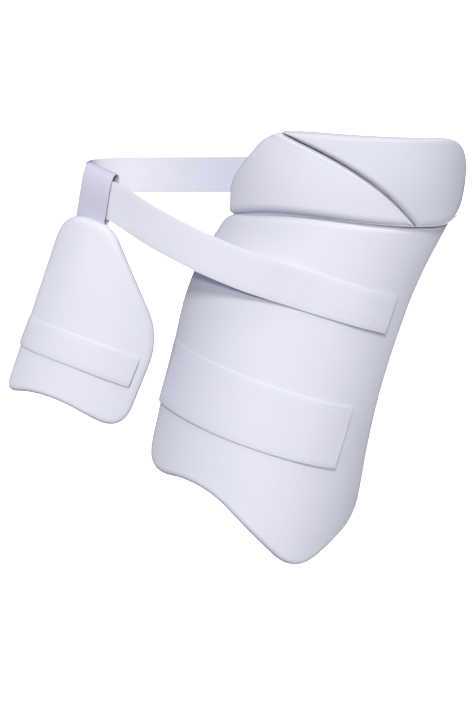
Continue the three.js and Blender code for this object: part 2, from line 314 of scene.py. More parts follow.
def outline(pattern, count):
    """Evenly spaced points of a pattern's outline: across, up, and the width of the rounded edge there."""
    rows = np.array(pattern, float)
    corner, cut, edge = rows[:, :2], rows[:, 2:3], rows[:, 3:]

    def towards(other):
        step = other - corner
        return corner + step / np.linalg.norm(step, axis=1, keepdims=True) * cut

    start = towards(np.roll(corner, 1, axis=0))[:, None]
    end = towards(np.roll(corner, -1, axis=0))[:, None]
    t = np.linspace(0, 1, BEND_POINTS)[None, :, None]
    bends = (1 - t) ** 2 * start + 2 * t * (1 - t) * corner[:, None] + t**2 * end
    widths = np.repeat(edge[:, None], BEND_POINTS, axis=1)
    path = np.concatenate([bends, widths], axis=2).reshape(-1, 3)
    return evenly(np.vstack([path, path[:1]]), count, 2)[:-1]


def evenly(path, count, axes):
    """count + 1 evenly spaced points of a path, whose first axes measure its length."""
    steps = np.linalg.norm(np.diff(path[:, :axes], axis=0), axis=1)
    length = np.concatenate([[0], np.cumsum(steps)])
    at = np.linspace(0, length[-1], count + 1)
    return np.stack([np.interp(at, length, path[:, k]) for k in range(path.shape[1])], axis=1)


def smoothstep(share):
    share = np.clip(share, 0, 1)
    return share * share * (3 - 2 * share)


def depth_in(rim, points):
    """How far in from an outline points are: in widths of the rounded edge, eased where two sides are
    equally near, and in millimetres from the nearest side."""
    start = rim[:, :2]
    after = np.roll(rim, -1, axis=0)
    side = after[:, :2] - start
    size = np.linalg.norm(side, axis=1)
    shares, depths = np.empty(len(points)), np.empty(len(points))
    for first in range(0, len(points), 1000):
        rows = slice(first, first + 1000)
        away = points[rows, None] - start
        along = np.clip((away * side).sum(2) / size**2, 0, 1)
        gap = np.maximum(np.linalg.norm(away - along[..., None] * side, axis=2), 1e-4)
        edge = rim[:, 2] + (after[:, 2] - rim[:, 2]) * along
        ratio = gap / edge
        picked = np.arange(len(gap)), gap.argmin(axis=1)
        plain = ratio[picked]
        eased = ((size / edge * ratio**-SOFT_POWER).sum(1) / SOFT_SPREAD) ** (-1 / (SOFT_POWER - 1))
        blend = smoothstep((gap[picked] / size.mean() - 1) / 3)
        shares[rows] = plain + (eased - plain) * blend
        depths[rows] = gap[picked]
    return shares, depths


def cushion(share):
    return np.sqrt(1 - (1 - np.clip(share, 0, 1)) ** CUSHION_POWER)


def sideways(pad, points):
    """How far to the side points are: -1 at a pad's left side, 0 in its middle and 1 at its right side."""
    up, *sides = np.array(pad["sides"], float).T
    heights = points[:, 1] + SIDES_SPREAD[:, None]
    left, right = (np.interp(heights, up, side).mean(axis=0) for side in sides)
    return np.clip(2 * (points[:, 0] - left) / (right - left) - 1, -1, 1)


def left_painted_shade(pad, points):
    """Painted shade towards a pad's left side, where the pad turns away from the light: 0 from the middle to
    the right, and up to 1 on the left.
    """
    left = np.maximum(-sideways(pad, points), 0)
    left = np.sqrt(left**2 + PAINTED_SHADE_START**2) - PAINTED_SHADE_START
    return pad["painted_shade"] * (1 - (1 - left) ** 2)


def outside_lift(pad, rim, points):
    share, _ = depth_in(rim, points)
    low, high = rim[:, :2].min(0), rim[:, :2].max(0)
    bow = np.sin(np.pi * np.clip((points - low) / (high - low), 0, 1)).prod(axis=1)
    top = pad["thickness"] + pad["crown"] * bow - pad["drop"] * np.abs(sideways(pad, points)) ** pad["power"]
    top -= SWELL["start"]
    return pad["rim"] + (top - pad["rim"]) * cushion(share)


def inside_lift(pad, rim, points):
    _, depth = depth_in(rim, points)
    return pad["rim"] * (1 - cushion(depth / INNER_ROUND))


def inward(rim):
    """Unit directions into an outline that runs anticlockwise."""
    along = np.roll(rim[:, :2], -1, axis=0) - np.roll(rim[:, :2], 1, axis=0)
    along /= np.linalg.norm(along, axis=1, keepdims=True)
    return np.stack([-along[:, 1], along[:, 0]], axis=1)


# Meshes


def ring_faces(rings, count):
    """Quads over rings of count points, with vertex 0 and the last vertex as the two ends."""
    at = 1 + np.arange(rings * count).reshape(rings, count)
    nxt = np.roll(at, -1, axis=1)
    quads = np.stack([at[:-1], nxt[:-1], nxt[1:], at[1:]], axis=-1).reshape(-1, 4).tolist()
    last = 1 + rings * count
    first_fan = [(0, int(b), int(a)) for a, b in zip(at[0], nxt[0])]
    last_fan = [(int(a), int(b), last) for a, b in zip(at[-1], nxt[-1])]
    return first_fan + quads + last_fan


def make_piece(name, points, faces, cloth, material):
    """A smooth mesh piece. cloth gives each point's place on the flat cloth, in millimetres."""
    mesh = bpy.data.meshes.new(name)
    mesh.from_pydata((np.asarray(points) * MM).tolist(), [], faces)
    mesh.polygons.foreach_set("use_smooth", [True] * len(mesh.polygons))
    layer = mesh.uv_layers.new(name="cloth")
    index = np.empty(len(mesh.loops), int)
    mesh.loops.foreach_get("vertex_index", index)
    layer.uv.foreach_set("vector", (np.asarray(cloth)[index] * MM).astype(np.float32).ravel())
    mesh.materials.append(material)
    mesh.validate()
    piece = bpy.data.objects.new(name, mesh)
    bpy.context.scene.collection.objects.link(piece)
    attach(piece, "root")
    return piece


def set_values(piece, name, values):
    attribute = piece.data.attributes.new(name, "FLOAT", "POINT")
    attribute.data.foreach_set("value", np.asarray(values, np.float32))


def near_points(points):
    tree = KDTree(len(points))
    for index, point in enumerate(points):
        tree.insert(point, index)
    tree.balance()
    return tree


def places(mesh):
    points = np.empty(len(mesh.vertices) * 3)
    mesh.vertices.foreach_get("co", points)
    return points.reshape(-1, 3)


def blown_up(piece, loose):
    """A coarse copy of a pad's cover before and after cloth pressure, held where loose is 0."""
    scene = bpy.context.scene
    copy = bpy.data.objects.new("blown_up", piece.data.copy())
    scene.collection.objects.link(copy)
    remesh = copy.modifiers.new("remesh", "REMESH")
    remesh.mode = "VOXEL"
    remesh.voxel_size = SWELL["voxel"] * MM
    copy.data = bpy.data.meshes.new_from_object(copy.evaluated_get(bpy.context.evaluated_depsgraph_get()))
    copy.modifiers.clear()
    before = places(copy.data)
    tree = near_points(places(piece.data))
    held = copy.vertex_groups.new(name="held")
    held.add([i for i, point in enumerate(before) if not loose[tree.find(point)[1]]], 1, "REPLACE")
    cloth = copy.modifiers.new("cloth", "CLOTH")
    cloth.settings.vertex_group_mass = held.name
    cloth.settings.mass = SWELL["mass"]
    for kind in ("tension", "compression", "shear", "bending"):
        setattr(cloth.settings, kind + "_stiffness", SWELL["stiffness"])
    cloth.settings.use_pressure = True
    cloth.settings.uniform_pressure_force = SWELL["pressure"]
    cloth.settings.effector_weights.gravity = 0
    cloth.point_cache.frame_start, cloth.point_cache.frame_end = 1, SWELL["frames"]
    for step in range(1, SWELL["frames"] + 1):
        scene.frame_set(step)
    after = places(copy.evaluated_get(bpy.context.evaluated_depsgraph_get()).data)
    scene.frame_set(1)
    bpy.data.objects.remove(copy)
    return before, after


def swell(piece, loose, share):
    """Fills out a pad's cover by cloth pressure. share is how much of the movement each point takes."""
    before, after = blown_up(piece, loose)
    move = after - before
    size = np.linalg.norm(move, axis=1)
    free = size > 0
    before, move, size = before[free], move[free], size[free, None]
    cap = SWELL["cap"] * MM
    move *= cap * np.tanh(size / cap) / size
    points = places(piece.data)
    for rows in np.array_split(np.nonzero(share)[0], SWELL_BATCHES):
        gap = ((points[rows, None] - before) ** 2).sum(2) / (SWELL["spread"] * MM) ** 2
        weight = np.exp(-gap / 2)
        points[rows] += weight @ move / weight.sum(1, keepdims=True) * share[rows, None]
    piece.data.vertices.foreach_set("co", points.ravel())
    piece.data.update()


def pad_piece(name, node, pad, pattern, middle, rim_points, material, shade=0.0):
    rim = outline(pattern, rim_points)
    flat = rim[:, :2]
    middle = np.array(middle, float)
    groove = flat + inward(rim) * SEAM_GROOVE
    rings = []
    for share in reversed(INSIDE_SHARES):
        points = flat + (middle - flat) * share
        rings.append((points, inside_lift(pad, rim, points)))
    for points, step in ((flat, -SEAM_HALF_WIDTH), (groove, 0), (flat, SEAM_HALF_WIDTH)):
        rings.append((points, np.full(len(flat), pad["rim"] + step)))
    outside = [flat + (middle - flat) * share for share in OUTSIDE_SHARES]
    lifts = np.array([outside_lift(pad, rim, points) for points in outside])
    rings += list(zip(outside, lifts))
    first = (middle[None], inside_lift(pad, rim, middle[None]))
    last = (middle[None], lifts[-1].mean(keepdims=True))
    stack = [first, *rings, last]
    cloth = np.concatenate([points for points, _ in stack])
    lift = np.concatenate([heights for _, heights in stack])
    points = to_world(pad, wrap(pad, cloth[:, 0], cloth[:, 1], lift))
    piece = make_piece(name, points, ring_faces(len(rings), len(flat)), cloth, material)
    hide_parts(node)
    share, depth = depth_in(rim, cloth)
    outer = np.arange(len(cloth)) > (len(INSIDE_SHARES) + 3) * len(flat)
    swell(piece, outer & (depth > SWELL["held"]), np.where(outer, cushion(share), 0))
    # Darker along the seam: partly painted shade of the seam's groove, partly soiling.
    set_values(piece, "seam", np.clip(1 - depth / SEAM_REACH, 0, 1))
    # Painted shade: towards the pad's left side, and over all of the panel by shade.
    set_values(piece, "painted_shade", shade + left_painted_shade(pad, cloth))
    return piece


# Strips that join the pads


def edge_stretch(pattern, count, corners, inset):
    """The part of an outline from one corner to another, moved in from the edge."""
    rim = outline(pattern, count)
    inner = rim[:, :2] + inward(rim) * inset
    first, last = (np.linalg.norm(rim[:, :2] - pattern[i][:2], axis=1).argmin() for i in corners)
    return np.roll(inner, -first, axis=0)[: (last - first) % len(rim) + 1]


def edge_rows(pad, flat, shares, lifts, short):
    """Both faces of a strip's edge along a stretch of a pad's pattern, but for a short share at each end."""
    flat = evenly(flat, STRIP_POINTS, 2)
    flat = flat[round(short * STRIP_POINTS) : round((1 - short) * STRIP_POINTS) + 1]
    lift = np.interp(np.linspace(0, 1, len(flat)), shares, lifts)
    return [to_world(pad, wrap(pad, flat[:, 0], flat[:, 1], lift - depth)) for depth in (STRIP_THICKNESS, 0)]


def strip_piece(name, edge, other, material):
    """A strip of cover cloth between two edges, each given as its inner and its outer row of points."""
    rings = np.stack([edge[0], edge[1], other[1], other[0]], axis=1)
    ends = rings[[0, -1]].mean(axis=1)
    points = np.vstack([ends[:1], rings.reshape(-1, 3), ends[1:]])
    piece = make_piece(name, points, ring_faces(len(rings), 4), points[:, [0, 2]], material)
    # The strips lie in the creases between the pads, and their cloth is darkened all over with painted shade.
    set_values(piece, "painted_shade", np.ones(len(points)))
    return piece


def add_strips(material):
    """Joins the two hip panels along their diagonal, and the hip guard to the outer pad."""
    inset, shares, lifts, short = (DIAGONAL_STRIP[key] for key in ("inset", "shares", "lifts", "short"))
    front = edge_stretch(HIP_FRONT_PATTERN, PANEL_RIM_POINTS, HIP_FRONT_DIAGONAL, inset)
    rear = edge_stretch(HIP_REAR_PATTERN, PANEL_RIM_POINTS, HIP_REAR_DIAGONAL, inset)
    strip_piece("hip_diagonal_strip", edge_rows(HIP_GUARD, front, shares, lifts, short),
                edge_rows(HIP_GUARD, rear[::-1], shares, lifts, short), material)
    inset, shares, short = (HINGE_STRIP[key] for key in ("inset", "shares", "short"))
    lower = [edge_stretch(HIP_FRONT_PATTERN, PANEL_RIM_POINTS, HIP_FRONT_LOWER, inset),
             edge_stretch(HIP_REAR_PATTERN, PANEL_RIM_POINTS, HIP_REAR_LOWER, inset)]
    upper = edge_stretch(OUTER_PAD_PATTERN, RIM_POINTS, OUTER_PAD_UPPER, inset)
    strip_piece("hip_hinge_strip", edge_rows(HIP_GUARD, np.vstack(lower), shares, HINGE_STRIP["hip"], short),
                edge_rows(OUTER_PAD, upper[::-1], shares, HINGE_STRIP["pad"], short), material)


# Straps


def smooth_route(points):
    """Centripetal curve through points: fine points, and the place of each in the row of given points."""
    points = np.asarray(points, float)
    ends = np.vstack([2 * points[0] - points[1], points, 2 * points[-1] - points[-2]])
    step = np.maximum(np.linalg.norm(np.diff(ends, axis=0), axis=1) ** 0.5, 1e-4)
    t = np.linspace(0, 1, CURVE_POINTS, endpoint=False)[:, None]
    path, place = [], []
    for i in range(len(points) - 1):
        p0, p1, p2, p3 = ends[i : i + 4]
        d0, d1, d2 = step[i : i + 3]
        m1 = ((p1 - p0) / d0 - (p2 - p0) / (d0 + d1) + (p2 - p1) / d1) * d1
        m2 = ((p2 - p1) / d1 - (p3 - p1) / (d1 + d2) + (p3 - p2) / d2) * d1
        path.append(p1 + m1 * t + (3 * (p2 - p1) - 2 * m1 - m2) * t**2 + (2 * (p1 - p2) + m1 + m2) * t**3)
        place.append(i + t[:, 0])
    return np.vstack([*path, points[-1:]]), np.concatenate([*place, [len(points) - 1]])


# A strap's section near its edge: distance from the edge, and height of the woven selvedge above the strap.
SELVEDGE = [(0.5, -0.4), (1.0, -0.34), (1.6, -0.26), (2.3, -0.18), (3.0, -0.1), (3.8, -0.04), (4.6, 0.0)]
SECTION_STEP = 6
INNER_COLUMNS = 9
EDGE_COLUMNS = 5
END_ROUND = 2.2
END_STATIONS = [0, 0.25, 0.7, 1.3, END_ROUND]
END_THINNER = 0.45


def section(width):
    """A strap's section: across and height of the points round it, and how many are on the outer face."""
    half, thick = width / 2, STRAP_THICKNESS
    near, selvedge = np.array(SELVEDGE).T
    count = max(2, round((width - 2 * near[-1]) / SECTION_STEP))
    middle = np.linspace(-half + near[-1], half - near[-1], count + 1)[1:-1]
    outer = np.concatenate([-half + near, middle, (half - near)[::-1]])
    height = thick + np.concatenate([selvedge, np.zeros(len(middle)), selvedge[::-1]])
    angle = np.linspace(0.5, -0.5, EDGE_COLUMNS + 2)[1:-1] * math.pi
    thin = (thick + selvedge[0]) / 2
    edge = half - thin + np.cos(angle) * thin
    edge_height = thin + np.sin(angle) * thin
    inner = np.linspace(half - near[0], -half + near[0], INNER_COLUMNS)
    across = np.concatenate([outer, edge, inner, -edge[::-1]])
    heights = np.concatenate([height, edge_height, np.zeros(len(inner)), edge_height[::-1]])
    return across, heights, len(outer)


def strap_points(points, broad_at, width):
    """A strap along a route: its points by station and place in the section, and what they are made from."""
    fine, place = smooth_route(points)
    path = evenly(np.column_stack([fine, place]), ROUTE_POINTS, 3)
    length = np.linalg.norm(np.diff(path[:, :3], axis=0), axis=1).sum()
    ends = np.array(END_STATIONS)
    inner = np.linspace(END_ROUND, length - END_ROUND, round(length / ROUTE_STEP))[1:-1]
    at = np.concatenate([ends, inner, length - ends[::-1]])
    path = np.stack([np.interp(at, np.linspace(0, length, len(path)), path[:, k]) for k in range(4)], axis=1)
    along = np.gradient(path[:, :3], at, axis=0)
    along /= np.linalg.norm(along, axis=1, keepdims=True)
    broad = broad_at(path[:, 3])
    broad = broad - along * (broad * along).sum(1, keepdims=True)
    broad /= np.linalg.norm(broad, axis=1, keepdims=True)
    out = np.cross(broad, along)
    across, heights, face = section(width)
    near = np.minimum(at, length - at)
    to_round = END_ROUND - np.minimum(near, END_ROUND)
    short = END_ROUND - np.sqrt(END_ROUND**2 - to_round**2)
    sides = across * (1 - short[:, None] / width)
    flat = 1 - END_THINNER * (near < END_STATIONS[1] / 2)[:, None]
    rises = STRAP_THICKNESS / 2 + (heights - STRAP_THICKNESS / 2) * flat
    spots = path[:, None, :3] + broad[:, None] * sides[..., None] + out[:, None] * rises[..., None]
    return dict(spots=spots, at=at, across=across, heights=rises, length=length, width=width, face=face)


def settle(strap, weight, pad, tree, centre=(0, 0), inside=False, extra=0.0, low_gap=LOW_EDGE_GAP):
    """Lays a strap on a finished pad where weight is above 0, along lines from a centre in the plane of the
    leg's axis: on the outside of the pad, or inside on the hollow side. extra is what lies between them."""
    turn, place = leg_axes(pad)
    rows = np.nonzero(weight > 0)[0]
    local = (strap["spots"][rows] - place) @ turn
    away = local[..., :2] - centre
    reach = np.linalg.norm(away, axis=-1)
    away = away / reach[..., None]
    start = local.copy()
    start[..., :2] = centre + (0 if inside else 1) * away * (reach[..., None] + CAST_FROM)
    aim = np.concatenate([away if inside else -away, np.zeros(away.shape[:2] + (1,))], axis=-1) @ turn.T
    start = start @ turn.T + place
    low_side = 0.5 - strap["across"] / strap["width"]
    gap = np.broadcast_to(REST_GAP + extra, (len(strap["at"]), len(low_side)))
    if not inside:
        tab = smoothstep((TAB_LENGTH - strap["at"]) / TAB_FADE)
        gap = gap + low_gap * low_side + TAB_GAP * tab[:, None]
    for i, row in enumerate(rows):
        for k in range(local.shape[1]):
            hit = tree.ray_cast(Vector(start[i, k] * MM), Vector(aim[i, k]), CAST_LENGTH)[0]
            if hit is None:
                continue
            surface = np.linalg.norm(((np.array(hit) / MM - place) @ turn)[:2] - centre)
            height = strap["heights"][row, k]
            target = surface + gap[row, k] + height
            if inside:
                target = surface - gap[row, k] - STRAP_THICKNESS + height
            reach[i, k] += (target - reach[i, k]) * weight[row]
    local[..., :2] = centre + away * reach[..., None]
    strap["spots"][rows] = local @ turn.T + place


def lay_leg_strap(strap, pad, spec, tree):
    """Lays a leg strap over its pad, round the pad's edge and, at its far end, on the hollow side."""
    turn, place = leg_axes(pad)
    local = ((strap["spots"].mean(axis=1) - place) @ turn)[:, :2]
    hub = wrap(pad, spec["hub"], 0, pad["rim"])[:2]
    across = pad["radius"] * np.arctan2(local[:, 0], -local[:, 1])
    first = strap["at"] < strap["length"] / 2
    on_pad = first & (across > spec["hub"])
    outwards = hub / np.linalg.norm(hub)
    away = local - hub
    angle = np.degrees(np.arccos(np.clip(away @ outwards / np.linalg.norm(away, axis=1), -1, 1)))
    round_edge = np.where(first & ~on_pad, 1 - smoothstep((angle - HUG_TO) / HUG_FADE), 0)
    settle(strap, on_pad.astype(float), pad, tree, low_gap=spec["low_gap"])
    settle(strap, round_edge, pad, tree, centre=hub, low_gap=spec["low_gap"])
    sewn = smoothstep((strap["at"] - strap["length"] + spec["sewn_length"]) / SEWN_FADE)
    settle(strap, sewn, pad, tree, inside=True)


def strap_piece(name, node, strap, material):
    spots = strap["spots"]
    rings, count = spots.shape[:2]
    ends = spots[[0, -1]].mean(axis=1)
    points = np.vstack([ends[:1], spots.reshape(-1, 3), ends[1:]])
    cloth = np.stack(np.broadcast_arrays(strap["across"], strap["at"][:, None]), axis=-1).reshape(-1, 2)
    cloth = np.vstack([[[0, 0]], cloth, [[0, strap["length"]]]])
    piece = make_piece(name, points, ring_faces(rings, count), cloth, material)
    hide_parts(node)
    return piece


def pad_painted_shade(piece, pad_cover):
    """The painted shade of a pad, taken up by the points of a strap that lies on it."""
    mesh = pad_cover.data
    painted_shades = np.empty(len(mesh.vertices), np.float32)
    mesh.attributes["painted_shade"].data.foreach_get("value", painted_shades)
    tree = near_points(places(mesh))
    values = []
    for point in places(piece.data):
        _, index, gap = tree.find(point)
        values.append(painted_shades[index] * (1 - smoothstep((gap / MM - PAINTED_SHADE_NEAR) / PAINTED_SHADE_NEAR)))
    return np.array(values)


def back_painted_shadow(piece):
    """Painted shadow of the hip guard on the waist strap, where the strap goes behind it."""
    x, y, _ = places(piece.data).T / MM
    share = smoothstep((x - WAIST_SHADE[0]) / (WAIST_SHADE[1] - WAIST_SHADE[0]))
    return np.where(y > WAIST_BACK, WAIST_PAINTED_SHADOW * share, 0)


def leg_strap(pad, spec):
    lift = pad["thickness"] + ROUTE_CROWN + ROUTE_GAP
    fronts = [spec["tab"] + (spec["edge"] - spec["tab"]) * i / FRONT_POINTS for i in range(FRONT_POINTS)]
    shares = np.arange(FRONT_POINTS) / FRONT_POINTS
    ups = spec["up"] + spec["slant"] * (1 - shares) + spec["bow"] * np.sin(math.pi * shares)
    points = list(wrap(pad, fronts, ups, lift))
    points += [wrap(pad, spec["edge"] - past, spec["up"], height) for past, height in spec["turn"]]
    points += [np.array([x, y, spec["up"]]) for x, y in spec["behind"]]
    start, end = spec["sewn"]
    sewn_lift = -SEWN_GAP - STRAP_THICKNESS
    points += [wrap(pad, across, spec["up"], sewn_lift) for across in (start, (start + end) / 2, end)]
    turn, _ = leg_axes(pad)
    upright = turn @ np.array([0, 0, 1.0])
    return strap_points(to_world(pad, np.array(points)), lambda place: np.tile(upright, (len(place), 1)),
                        spec["width"])


def waist_strap():
    lift = OUTER_PAD["thickness"] + ROUTE_CROWN + ROUTE_GAP
    sewn_lift = -SEWN_GAP - STRAP_THICKNESS
    on_pad = wrap(OUTER_PAD, WAIST_STRAP_ON_PAD["arcs"], WAIST_STRAP_ON_PAD["ups"], lift)
    sewn = wrap(HIP_GUARD, WAIST_STRAP_SEWN["arcs"], WAIST_STRAP_SEWN["up"], sewn_lift)
    free = np.array(WAIST_STRAP_FREE)
    points = np.vstack([to_world(OUTER_PAD, on_pad), free[:, :3], to_world(HIP_GUARD, sewn)])
    leans = np.concatenate([[OUTER_PAD["lean"]] * len(on_pad), free[:, 3], [HIP_GUARD["lean"]] * len(sewn)])

    def broad_at(place):
        lean = np.radians(np.interp(place, np.arange(len(leans)), leans))
        return np.stack([np.sin(lean), 0 * lean, np.cos(lean)], axis=1)

    return strap_points(points, broad_at, WAIST_STRAP_WIDTH)


def hanger():
    turn, tilt = HANGER_PLACE["across"] / INNER_PAD["radius"], math.radians(-HANGER_PLACE["tilt"])
    about_z = np.array([[math.cos(turn), -math.sin(turn), 0], [math.sin(turn), math.cos(turn), 0], [0, 0, 1]])
    about_y = np.array([[math.cos(tilt), 0, math.sin(tilt)], [0, 1, 0], [-math.sin(tilt), 0, math.cos(tilt)]])
    local = np.array([(0, depth, up) for depth, up in HANGER_ROUTE], float) @ (about_z @ about_y).T
    foot = wrap(INNER_PAD, HANGER_PLACE["across"], HANGER_PLACE["up"], 0)
    points = to_world(INNER_PAD, local + foot)
    axes = leg_axes(INNER_PAD)[0] @ about_z @ about_y
    strap = strap_points(points, lambda place: np.tile(axes[:, 0], (len(place), 1)), HANGER_WIDTH)
    height = (strap["spots"].mean(axis=1) - points[1]) @ axes[:, 2]
    slope = HANGER_SLOPE * smoothstep(height / HANGER_SLOPE_FROM)
    strap["spots"] -= (slope[:, None] * strap["across"])[..., None] * axes[:, 2]
    strap["rise"] = height
    return strap


def tree_of(piece):
    mesh = piece.data
    return BVHTree.FromPolygons([v.co for v in mesh.vertices], [p.vertices for p in mesh.polygons])


# Stitches


def on_strap(strap, along, across, inside=False):
    """Points of a strap's outer or inner face, and the direction out of that face at each."""
    face = strap["face"]
    columns = np.arange(face)
    if inside:
        columns = np.arange(face + EDGE_COLUMNS, face + EDGE_COLUMNS + INNER_COLUMNS)[::-1]
    spots, sides = strap["spots"][:, columns], strap["across"][columns]

    def at(along, across):
        row = np.interp(along, strap["at"], np.arange(len(strap["at"])))
        column = np.interp(across, sides, np.arange(len(sides)))
        i = np.clip(row.astype(int), 0, len(spots) - 2)
        j = np.clip(column.astype(int), 0, len(sides) - 2)
        u, v = (row - i)[:, None], (column - j)[:, None]
        near = spots[i, j] * (1 - v) + spots[i, j + 1] * v
        far = spots[i + 1, j] * (1 - v) + spots[i + 1, j + 1] * v
        return near * (1 - u) + far * u

    broad = at(along, across + FACE_STEP) - at(along, across - FACE_STEP)
    ahead = at(along + FACE_STEP, across) - at(along - FACE_STEP, across)
    out = np.cross(broad, ahead)
    out /= np.linalg.norm(out, axis=1, keepdims=True)
    return at(along, across), -out if inside else out


def stitch_places(corners):
    """Starts and ends of stitches along straight rows between corners of the form (along, across)."""
    starts, ends = [], []
    for a, b in zip(np.array(corners[:-1], float), np.array(corners[1:], float)):
        length = np.linalg.norm(b - a)
        count = max(1, round(length / STITCH["pitch"]))
        middles = a + (b - a) * ((np.arange(count) + 0.5) / count)[:, None]
        half = (b - a) / length * STITCH["length"] / 2
        starts.append(middles - half)
        ends.append(middles + half)
    return np.vstack(starts), np.vstack(ends)


def stitch_points(starts, ends, outs):
    """Rings of thread round each stitch: the thread rises from the cloth, runs along it and goes back in."""
    along = ends - starts
    along /= np.linalg.norm(along, axis=1, keepdims=True)
    side = np.cross(outs, along)
    angle = np.arange(STITCH_SIDES) * 2 * math.pi / STITCH_SIDES
    rings = []
    ring = side[:, None] * np.cos(angle)[:, None] + outs[:, None] * np.sin(angle)[:, None]
    for share, height, girth in STITCH_ARCH:
        middle = starts + (ends - starts) * share + outs * STITCH["rise"] * height
        rings.append(middle[:, None] + STITCH["radius"] * girth * ring)
    return np.stack(rings, axis=1)


def stitches_piece(name, strap, rows, material):
    """Thread of the rows of stitches on a strap. A row is its corners, and whether it is on the inside."""
    blocks = []
    for corners, inside in rows:
        starts, ends = stitch_places(corners)
        first, out = on_strap(strap, starts[:, 0], starts[:, 1], inside)
        last, _ = on_strap(strap, ends[:, 0], ends[:, 1], inside)
        blocks.append(stitch_points(first, last, out))
    rings = np.concatenate(blocks)
    count = rings.shape[1] * STITCH_SIDES + 2
    points, faces = [], []
    stitch_faces = ring_faces(rings.shape[1], STITCH_SIDES)
    for i, stitch in enumerate(rings):
        points += [stitch[0].mean(axis=0)[None], stitch.reshape(-1, 3), stitch[-1].mean(axis=0)[None]]
        faces += [[vertex + i * count for vertex in face] for face in stitch_faces]
    points = np.vstack(points)
    return make_piece(name, points, faces, points[:, [0, 2]], material)


def box_rows(start, end, half, inside=False, crossed=False):
    """A box of stitches across a strap from start to end along it, with a cross in it where asked for."""
    box = [(start, -half), (end, -half), (end, half), (start, half), (start, -half)]
    rows = [(box, inside)]
    if crossed:
        rows += [([(start, -half), (end, half)], inside), ([(start, half), (end, -half)], inside)]
    return rows


# Materials


def add_node(tree, kind, inputs=None, **settings):
    """Adds a shader node. Each input is a value, or the socket that it is linked to."""
    node = tree.nodes.new(kind)
    for name, value in settings.items():
        setattr(node, name, value)
    for key, value in (inputs or {}).items():
        if isinstance(value, bpy.types.NodeSocket):
            tree.links.new(value, node.inputs[key])
        else:
            node.inputs[key].default_value = value
    return node


def math_node(tree, operation, *values):
    return add_node(tree, "ShaderNodeMath", dict(enumerate(values)), operation=operation).outputs[0]


def vector_node(tree, operation, vector, other):
    """Vector arithmetic with another vector or, for SCALE, with a number."""
    key = "Scale" if operation == "SCALE" else 1
    inputs = {0: vector, key: other}
    return add_node(tree, "ShaderNodeVectorMath", inputs, operation=operation).outputs["Vector"]


def new_material(name):
    material = bpy.data.materials.new(name)
    material.use_nodes = True
    return material, material.node_tree, material.node_tree.nodes["Principled BSDF"]


def wave(tree, place, direction, pitch, distortion):
    inputs = {"Vector": place, "Scale": math.pi / 10 / (pitch * MM), "Distortion": distortion, "Detail": 1}
    return add_node(tree, "ShaderNodeTexWave", inputs, bands_direction=direction).outputs["Fac"]


def cloth_material(name, colour, rib, row, relief, painted_shade):
    """Cloth woven or knitted at two pitches, mottled a little, darkened by painted shade, and darker along
    its seams, partly painted shade of the seam's groove and partly soiling.
    """
    material, tree, shader = new_material(name)
    shader.inputs["Specular IOR Level"].default_value = CLOTH_SPECULAR
    place = add_node(tree, "ShaderNodeUVMap", uv_map="cloth").outputs["UV"]
    ribs = wave(tree, place, "X", rib, RIB_WOBBLE)
    rows = wave(tree, place, "Y", row, ROW_WOBBLE)
    yarns = math_node(tree, "MULTIPLY", ribs, rows)
    mottle = add_node(tree, "ShaderNodeTexNoise", {"Vector": place, **MOTTLE}).outputs["Fac"]
    fibres = add_node(tree, "ShaderNodeTexNoise", {"Vector": place, **FIBRES}).outputs["Fac"]
    seam = add_node(tree, "ShaderNodeAttribute", attribute_name="seam").outputs["Fac"]
    painted_shade_mask = add_node(tree, "ShaderNodeAttribute", attribute_name="painted_shade").outputs["Fac"]
    light = math_node(tree, "MULTIPLY_ADD", yarns, CLOTH_LIGHT["yarns"], CLOTH_LIGHT["base"])
    light = math_node(tree, "MULTIPLY_ADD", mottle, CLOTH_LIGHT["mottle"], light)
    light = math_node(tree, "MULTIPLY_ADD", fibres, CLOTH_LIGHT["fibres"], light)
    light = math_node(tree, "MULTIPLY_ADD", seam, CLOTH_LIGHT["seam"], light)
    dark = vector_node(tree, "SCALE", PAINTED_SHADE_TINT, math_node(tree, "MULTIPLY", painted_shade_mask, painted_shade))
    tint = vector_node(tree, "SUBTRACT", (1, 1, 1), dark)
    tint = vector_node(tree, "MULTIPLY", colour, tint)
    shade = vector_node(tree, "SCALE", tint, light)
    tree.links.new(shade, shader.inputs["Base Color"])
    rough = math_node(tree, "MULTIPLY_ADD", mottle, CLOTH_ROUGHNESS["mottle"], CLOTH_ROUGHNESS["base"])
    tree.links.new(rough, shader.inputs["Roughness"])
    height = math_node(tree, "MULTIPLY_ADD", fibres, FIBRE_RELIEF, yarns)
    weave = {"Strength": relief, "Distance": WEAVE_DEPTH * MM, "Height": height}
    bump = add_node(tree, "ShaderNodeBump", weave)
    tree.links.new(bump.outputs["Normal"], shader.inputs["Normal"])
    return material


def thread_material():
    """Twisted thread: the turns of its yarns show as slanting bands."""
    material, tree, shader = new_material("thread")
    place = add_node(tree, "ShaderNodeUVMap", uv_map="cloth").outputs["UV"]
    turns = wave(tree, place, "DIAGONAL", THREAD["pitch"], THREAD["wobble"])
    light = math_node(tree, "MULTIPLY_ADD", turns, THREAD["turns"], THREAD["base"])
    shade = vector_node(tree, "SCALE", THREAD["colour"], light)
    tree.links.new(shade, shader.inputs["Base Color"])
    shader.inputs["Roughness"].default_value = THREAD["roughness"]
    return material


# Studio


def add_camera():
    data = bpy.data.cameras.new("camera")
    data.lens = CAMERA_LENS
    camera = bpy.data.objects.new("camera", data)
    camera.location = CAMERA_PLACE
    camera.rotation_euler = (math.radians(CAMERA_PITCH), 0, 0)
    bpy.context.scene.collection.objects.link(camera)
    bpy.context.scene.camera = camera


